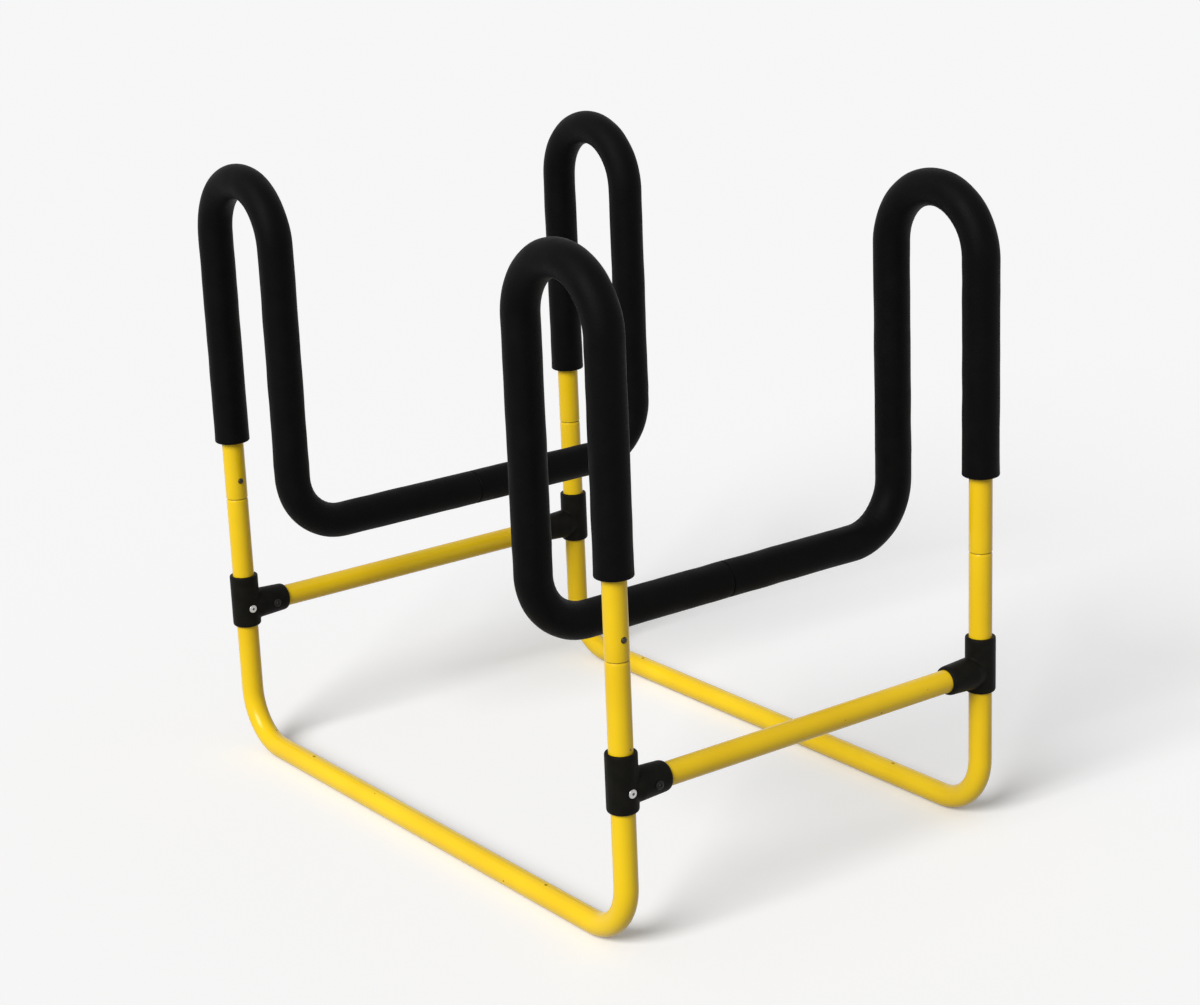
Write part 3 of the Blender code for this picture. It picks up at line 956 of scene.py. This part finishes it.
for side, end in corners:
    foam_sleeve(side, end)

# %% [markdown]
# ## The tee brackets
#
# A bracket is one moulding: a sleeve round the leg with a tapered socket for
# the rail. Where the two meet, the mould leaves a soft fillet. A voxel remesh
# of the two overlapping turned shapes welds them into one skin, and a few
# passes of smoothing give the fillet and the soft outer edges. The bores come
# last, so that their rims stay crisp, with a small chamfer at each mouth.

# %% Sizes of a bracket
bracket_low, bracket_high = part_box("front_left_tee_bracket")
sleeve_top = bracket_high.z - rail_height
sleeve_bottom = bracket_low.z - rail_height
sleeve_radius = -bracket_low.y - leg_y
socket_length = bracket_high.y + leg_y
socket_root = (bracket_high.x - bracket_low.x) / 2
socket_mouth = 0.0163
socket_tuck = 0.002
socket_floor = sleeve_radius + 0.004
top_round = 0.0012
foot_round = 0.0030
mouth_round = (0.0030, 0.0060)
shell_bore = tube_radius + fit
bore_chamfer = 0.0006
past_mouth = 0.01
past_bracket = 0.04
print("sleeve", [round(v, 4) for v in (sleeve_radius, sleeve_bottom, sleeve_top)])
print("socket", [round(v, 4) for v in (socket_length, socket_root, socket_mouth)])


# %% The bits for the two bores
bore_sides = 64


def bore_bit(length, flared_both):
    """Drill for a tube's seat, wider at its mouth, which is at the top."""
    wide = shell_bore + bore_chamfer
    above = length + past_mouth
    top = [(0.0, above), (wide, above), (wide, length), (shell_bore, length - bore_chamfer)]
    if flared_both:
        foot = [(shell_bore, bore_chamfer), (wide, 0.0), (wide, -past_mouth), (0.0, -past_mouth)]
    else:
        foot = [(shell_bore, 0.0), (0.0, 0.0)]
    return turned("bit", top + foot, bore_sides)


# %% The bracket's skin, then its bores
skin_sides = 96
bracket_voxel = 0.0007
fillet_passes = 7
bracket_crisp = 35.0
along_y = Matrix.Rotation(-math.pi / 2, 4, "X")


def bracket_skin():
    """The sleeve and the socket, welded, remeshed and smoothed into one rounded skin."""
    top = quarter_round(sleeve_radius, sleeve_top, top_round, top_round)
    foot = quarter_round(sleeve_radius, -sleeve_bottom, foot_round, foot_round)
    side = [(radius, -height) for radius, height in reversed(foot)]
    sleeve = [(0.0, sleeve_top)] + top + side + [(0.0, sleeve_bottom)]
    body = turned("bracket_body", sleeve, skin_sides)
    mouth = quarter_round(socket_mouth, socket_length, *mouth_round)
    root = [(socket_root, sleeve_radius), (sleeve_radius - socket_tuck, 0.0), (0.0, 0.0)]
    socket = turned("bracket_socket", [(0.0, socket_length)] + mouth + root, skin_sides)
    socket.data.transform(along_y)
    weld_or_cut(body, socket, "UNION")
    skin = body.modifiers.new("skin", "REMESH")
    skin.mode = "VOXEL"
    skin.voxel_size = bracket_voxel
    bake(body)
    mesh = bmesh.new()
    mesh.from_mesh(body.data)
    axes = {"use_axis_x": True, "use_axis_y": True, "use_axis_z": True}
    for _ in range(fillet_passes):
        bmesh.ops.smooth_vert(mesh, verts=mesh.verts[:], factor=0.5, **axes)
    mesh.to_mesh(body.data)
    mesh.free()
    return body


def mesh_only(piece):
    """Takes the object away and keeps its mesh, which is then copied to each place."""
    shape = piece.data
    bpy.data.objects.remove(piece)
    return shape


def bracket_mesh():
    body = bracket_skin()
    leg_bit = bore_bit(sleeve_top - sleeve_bottom, True)
    leg_bit.data.transform(Matrix.Translation((0.0, 0.0, sleeve_bottom)))
    weld_or_cut(body, leg_bit, "DIFFERENCE")
    rail_bit = bore_bit(socket_length - socket_floor, False)
    rail_bit.data.transform(along_y @ Matrix.Translation((0.0, 0.0, socket_floor)))
    weld_or_cut(body, rail_bit, "DIFFERENCE")
    for distance in (0.0, rail_rivet_y + leg_y):
        drill(body, Vector((0.0, distance, 0.0)), Vector((1.0, 0.0, 0.0)), rivet_hole, past_bracket)
    smooth(body.data, bracket_crisp)
    return mesh_only(body)


bracket_shape = bracket_mesh()
print("bracket faces:", len(bracket_shape.polygons))


# %% Four brackets from one moulding
def at_corner(side, end, height, turn):
    return Matrix.Translation((side * leg_x, end * leg_y, height)) @ turn


for side, end in corners:
    node = f"{end_names[end]}_{side_names[side]}_tee_bracket"
    turn = half_turn if end > 0 else Matrix()
    piece = placed_copy(node + "_fine", bracket_shape, at_corner(side, end, rail_height, turn))
    hand_over(piece, node, moulding, "base")

# %% [markdown]
# ## Rivets and buttons
#
# A pulled rivet has a low domed head with a hole in the middle, and the broken
# end of its steel pin sits just inside that hole. The pin's faces get a second
# finish, by their place near the rivet's axis. Inside the tube its shank is
# squeezed into a bulb. The snap button is a round-topped pin with a flange
# behind the wall, which keeps it from being pushed out.

# %% Sizes of a pulled rivet
rivet_head = 0.00475
head_height = 0.0014
head_edge = 0.0003
edge_ease = 0.0001
dome_rise = 0.0011
dome_fullness = 0.8
dome_angles = (0.55, 0.80, 1.05, 1.30, 1.50)
head_hole = 0.0015
hole_ease = 0.0002
groove_depth = 0.0017
pin_tip = 0.0009
pin_radius = 0.0013
pin_depths = (0.0009, 0.00095, 0.0013)
shank_radius = 0.0024
bulb_radius = 0.0034
bulb_heights = (0.0030, 0.0026, 0.0012, 0.0001)


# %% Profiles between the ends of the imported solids
def inner_and_outer(node):
    """Distances from the fastener's tube axis to the inner and outer end of its node."""
    low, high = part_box(node)
    return low.x + leg_x, high.x + leg_x


def rivet_shape(name, node):
    inside, top = inner_and_outer(node)
    seat = top - head_height
    groove = top - groove_depth
    pin = [(radius, top - depth) for radius, depth in zip((0.0, pin_tip, pin_radius), pin_depths)]
    hole = [(pin_radius, groove), (head_hole, groove)]
    hole += [(head_hole, top - edge_ease), (head_hole + hole_ease, top)]
    dome = []
    for angle in dome_angles:
        rise = dome_rise * math.cos(angle) ** dome_fullness
        dome.append((rivet_head * math.sin(angle), seat + head_edge + rise))
    edge = [(rivet_head, seat + head_edge), (rivet_head - edge_ease, seat), (shank_radius, seat)]
    widths = (shank_radius, bulb_radius, bulb_radius, shank_radius)
    bulb = [(radius, inside + height) for radius, height in zip(widths, bulb_heights)]
    return mesh_only(turned(name, pin + hole + dome + edge + bulb + [(0.0, inside)]))


leg_rivet = rivet_shape("leg_rivet", "front_left_leg_rivet")
rail_rivet = rivet_shape("rail_rivet", "front_left_rail_rivet")
print("rivet reach:", [round(v, 4) for v in inner_and_outer("front_left_leg_rivet")])

# %% A snap button
button_stem = 0.0032
button_flange = 0.0043
flange_thickness = 0.0008
button_round = (0.0029, 0.0015)
button_round_steps = 8


def button_shape(name, node):
    base, top = inner_and_outer(node)
    dome = quarter_round(button_stem, top, *button_round, button_round_steps)
    flange = base + flange_thickness
    back = [(button_stem, flange), (button_flange, flange), (button_flange, base), (0.0, base)]
    return mesh_only(turned(name, [(0.0, top)] + dome + back))


snap_button = button_shape("snap_button", "front_left_snap_button")
print("button reach:", [round(v, 4) for v in inner_and_outer("front_left_snap_button")])

# %% The faces of a rivet's broken pin
pin_shows = 0.002
pin_margin = 0.00005


def pin_faces(shape, node):
    """Indices of the faces near the rivet's axis and near its head's top."""
    lowest = inner_and_outer(node)[1] - pin_shows
    widest = pin_radius + pin_margin
    high = [face for face in shape.polygons if face.center.z > lowest]
    return [face.index for face in high if face.center.xy.length < widest]


def show_pin(piece, faces):
    piece.data.materials.append(pin_steel)
    for index in faces:
        piece.data.polygons[index].material_index = 1


leg_pin = pin_faces(leg_rivet, "front_left_leg_rivet")
rail_pin = pin_faces(rail_rivet, "front_left_rail_rivet")
print("pin faces:", len(leg_pin), len(rail_pin), "of", len(leg_rivet.polygons))

# %% Eight rivets and four buttons
for side, end in corners:
    corner = f"{end_names[end]}_{side_names[side]}"
    turn = facing(end).to_track_quat("Z", "Y").to_matrix().to_4x4()
    on_rail = Matrix.Translation((side * leg_x, -end * rail_rivet_y, rail_height)) @ turn
    on_leg = at_corner(side, end, rail_height, turn)
    piece = placed_copy(corner + "_leg_rivet_fine", leg_rivet, on_leg)
    hand_over(piece, corner + "_leg_rivet", bright_rivet, "base")
    show_pin(piece, leg_pin)
    piece = placed_copy(corner + "_rail_rivet_fine", rail_rivet, on_rail)
    hand_over(piece, corner + "_rail_rivet", dark_rivet, "base")
    show_pin(piece, rail_pin)
    over_seam = at_corner(side, end, button_height, turn)
    piece = placed_copy(corner + "_snap_button_fine", snap_button, over_seam)
    hand_over(piece, corner + "_snap_button", zinc, corner + "_button")

# %% [markdown]
# ## The snap springs
#
# Behind each button sits a V of flat steel. Its front leaf carries the button,
# so it bends back as the button is pressed. Its back leaf bears on the bore and
# stays still. The imported solid has the right shape, but its long faces can't
# bend. So a copy of it has its loose triangles merged, and is cut into short
# bands.

# %% Four springs, cut into bands
spring_bands = 24
loose_within = 0.000001


def banded_copy(node):
    """A merged copy of the spring's solid, cut into level bands."""
    low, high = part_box(node)
    mesh = bmesh.new()
    mesh.from_mesh(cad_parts[node].data)
    bmesh.ops.remove_doubles(mesh, verts=mesh.verts[:], dist=loose_within)
    for band in range(1, spring_bands):
        cut = Vector((0.0, 0.0, low.z + (high.z - low.z) * band / spring_bands))
        whole = mesh.verts[:] + mesh.edges[:] + mesh.faces[:]
        bmesh.ops.bisect_plane(mesh, geom=whole, plane_co=cut, plane_no=up_way)
    return finished(mesh, node + "_fine")


def bend_with_button(piece):
    """Bakes the piece's place into its mesh; the front leaf is not moved."""
    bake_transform(piece)


for side, end in corners:
    corner = f"{end_names[end]}_{side_names[side]}"
    piece = banded_copy(corner + "_snap_spring")
    dress(piece, corner + "_snap_spring", steel)
    bend_with_button(piece)

# %% [markdown]
# ## Floor and light
#
# The photograph is a catalogue picture: a white ground, one broad soft light
# from the front and above, and deep shade on the far side of each tube. A sun
# with a wide disc stands for the soft box, because its light doesn't fall off
# and so keeps the ground even. A dim world fills the shade.
#
# A white floor would throw so much light back up that the shade would go. So
# the Light Path node shows the floor and the world white to the camera and to
# reflections only, and grey to the light that bounces between surfaces. In the
# same way a trace of glow lifts the floor to white for the camera, and it keeps
# its shadows.

# %% What the camera and reflections see
def seen_directly(tree):
    """1 for camera, glossy and transmission rays, 0 for the light that bounces."""
    path = add(tree, "ShaderNodeLightPath").outputs
    mirrored = maths(tree, path["Is Glossy Ray"], path["Is Transmission Ray"], "MAXIMUM")
    return maths(tree, path["Is Camera Ray"], mirrored, "MAXIMUM")


# %% The floor
floor_white = (0.97, 0.97, 0.97)
floor_bounce = (0.35, 0.35, 0.35)
floor_glow = 0.12
floor_half_width = 30.0


def make_floor():
    mesh = bmesh.new()
    bmesh.ops.create_grid(mesh, x_segments=1, y_segments=1, size=floor_half_width)
    ground = finished(mesh, "studio_floor")
    finish, tree, shader = new_finish("studio_white")
    seen = seen_directly(tree)
    tree.links.new(blend_colours(tree, seen, floor_bounce, floor_white), shader.inputs["Base Color"])
    shader.inputs["Emission Color"].default_value = (1.0, 1.0, 1.0, 1.0)
    tree.links.new(maths(tree, seen, floor_glow), shader.inputs["Emission Strength"])
    shader.inputs["Roughness"].default_value = 0.9
    shader.inputs["Specular IOR Level"].default_value = 0.0
    ground.data.materials.append(finish)


make_floor()

# %% The sun and the world
sun_from = Vector((0.28, -0.95, 0.74))
sun_disc = math.radians(32.0)
sun_level = 2.90
sun_distance = 3.0
world_fill = 0.28
world_seen = 0.93

sun_data = bpy.data.lights.new("soft_box", "SUN")
sun_data.energy = sun_level
sun_data.angle = sun_disc
sun = bpy.data.objects.new("soft_box", sun_data)
bpy.context.scene.collection.objects.link(sun)
sun.location = sun_from * sun_distance
sun.rotation_euler = (-sun_from).to_track_quat("-Z", "Y").to_euler()

world = bpy.data.worlds.new("studio_world")
bpy.context.scene.world = world
world.use_nodes = True
tree = world.node_tree
background = tree.nodes["Background"].inputs
background["Color"].default_value = (1.0, 1.0, 1.0, 1.0)
tree.links.new(spread(tree, seen_directly(tree), world_fill, world_seen), background["Strength"])
bpy.context.scene.view_settings.view_transform = "Standard"
print("sun", sun_level, "world", world_fill)
